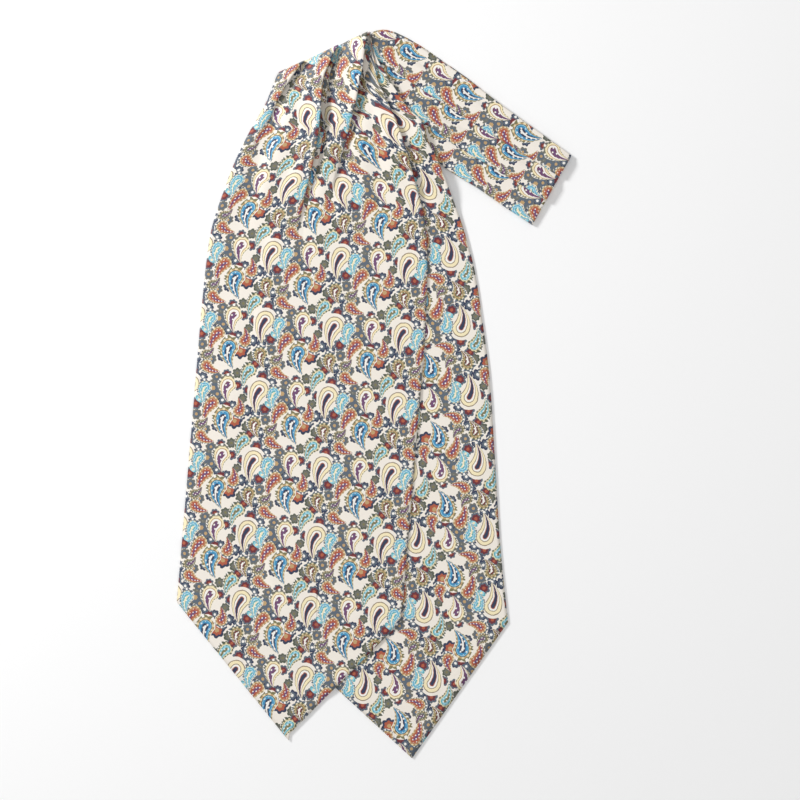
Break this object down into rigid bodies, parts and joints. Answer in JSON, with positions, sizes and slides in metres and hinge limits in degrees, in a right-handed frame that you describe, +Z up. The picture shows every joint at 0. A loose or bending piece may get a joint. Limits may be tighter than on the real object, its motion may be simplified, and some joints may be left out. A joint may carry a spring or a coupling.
{
  "type": "silk cravat",
  "caption": "Silk day cravat laid flat: two broad pointed blades, one over the other, gathered into a pleated neck band folded in half.",
  "frame": {"origin": "centre of the laid cravat's overall box, on the surface it lies on", "axes": "+Z up from that surface, +Y from the blade points to the folded top edge, +X towards the folded end of the neck band"},
  "size_m": [0.2758, 0.5098, 0.0091],
  "materials": {
    "front_silk": "satin",
    "rear_silk": "satin",
    "band_silk": "satin"
  },
  "bodies": {
    "root": {"front_blade": "front_silk", "rear_blade": "rear_silk", "band_top_strip": "band_silk", "band_middle_strip": "band_silk", "band_lower_strip": "band_silk", "band_under": "band_silk"}
  },
  "joints": []
}
